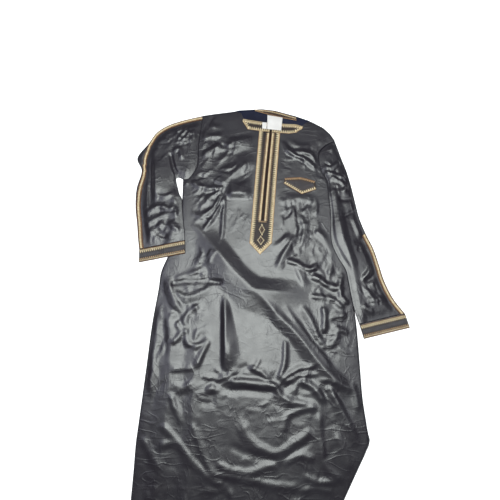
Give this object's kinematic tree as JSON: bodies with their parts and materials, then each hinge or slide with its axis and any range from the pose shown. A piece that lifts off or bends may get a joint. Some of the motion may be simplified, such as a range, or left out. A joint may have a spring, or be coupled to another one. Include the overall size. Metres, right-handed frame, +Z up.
{
  "type": "jalabiya robe laid flat",
  "caption": "Long loose robe laid flat on its back, with an embroidered neckband, split placket, pocket top, cuffs and sleeve braids.",
  "frame": {"origin": "under the middle of the robe's box, on the surface it lies on", "axes": "+Y from hem to neck, +X towards the wearer's left, +Z up out of the front of the robe"},
  "size_m": [0.8806, 1.3768, 0.0191],
  "materials": {
    "cloth": "polished black cloth, soft sheen",
    "embroidery": "cream and gold thread on black",
    "label": "white satin ribbon, blank"
  },
  "bodies": {
    "root": {"back_panel": "cloth", "front_panel": "cloth", "turned_corner": "cloth", "sleeve_right": "cloth", "sleeve_left": "cloth", "cuff_right": "embroidery", "cuff_left": "embroidery", "braid_right": "embroidery", "braid_left": "embroidery", "neckband_right": "embroidery", "neckband_left": "embroidery", "neckband_back": "embroidery", "placket": "embroidery", "pocket_welt": "embroidery", "neck_label": "label", "size_label": "label"}
  },
  "joints": []
}
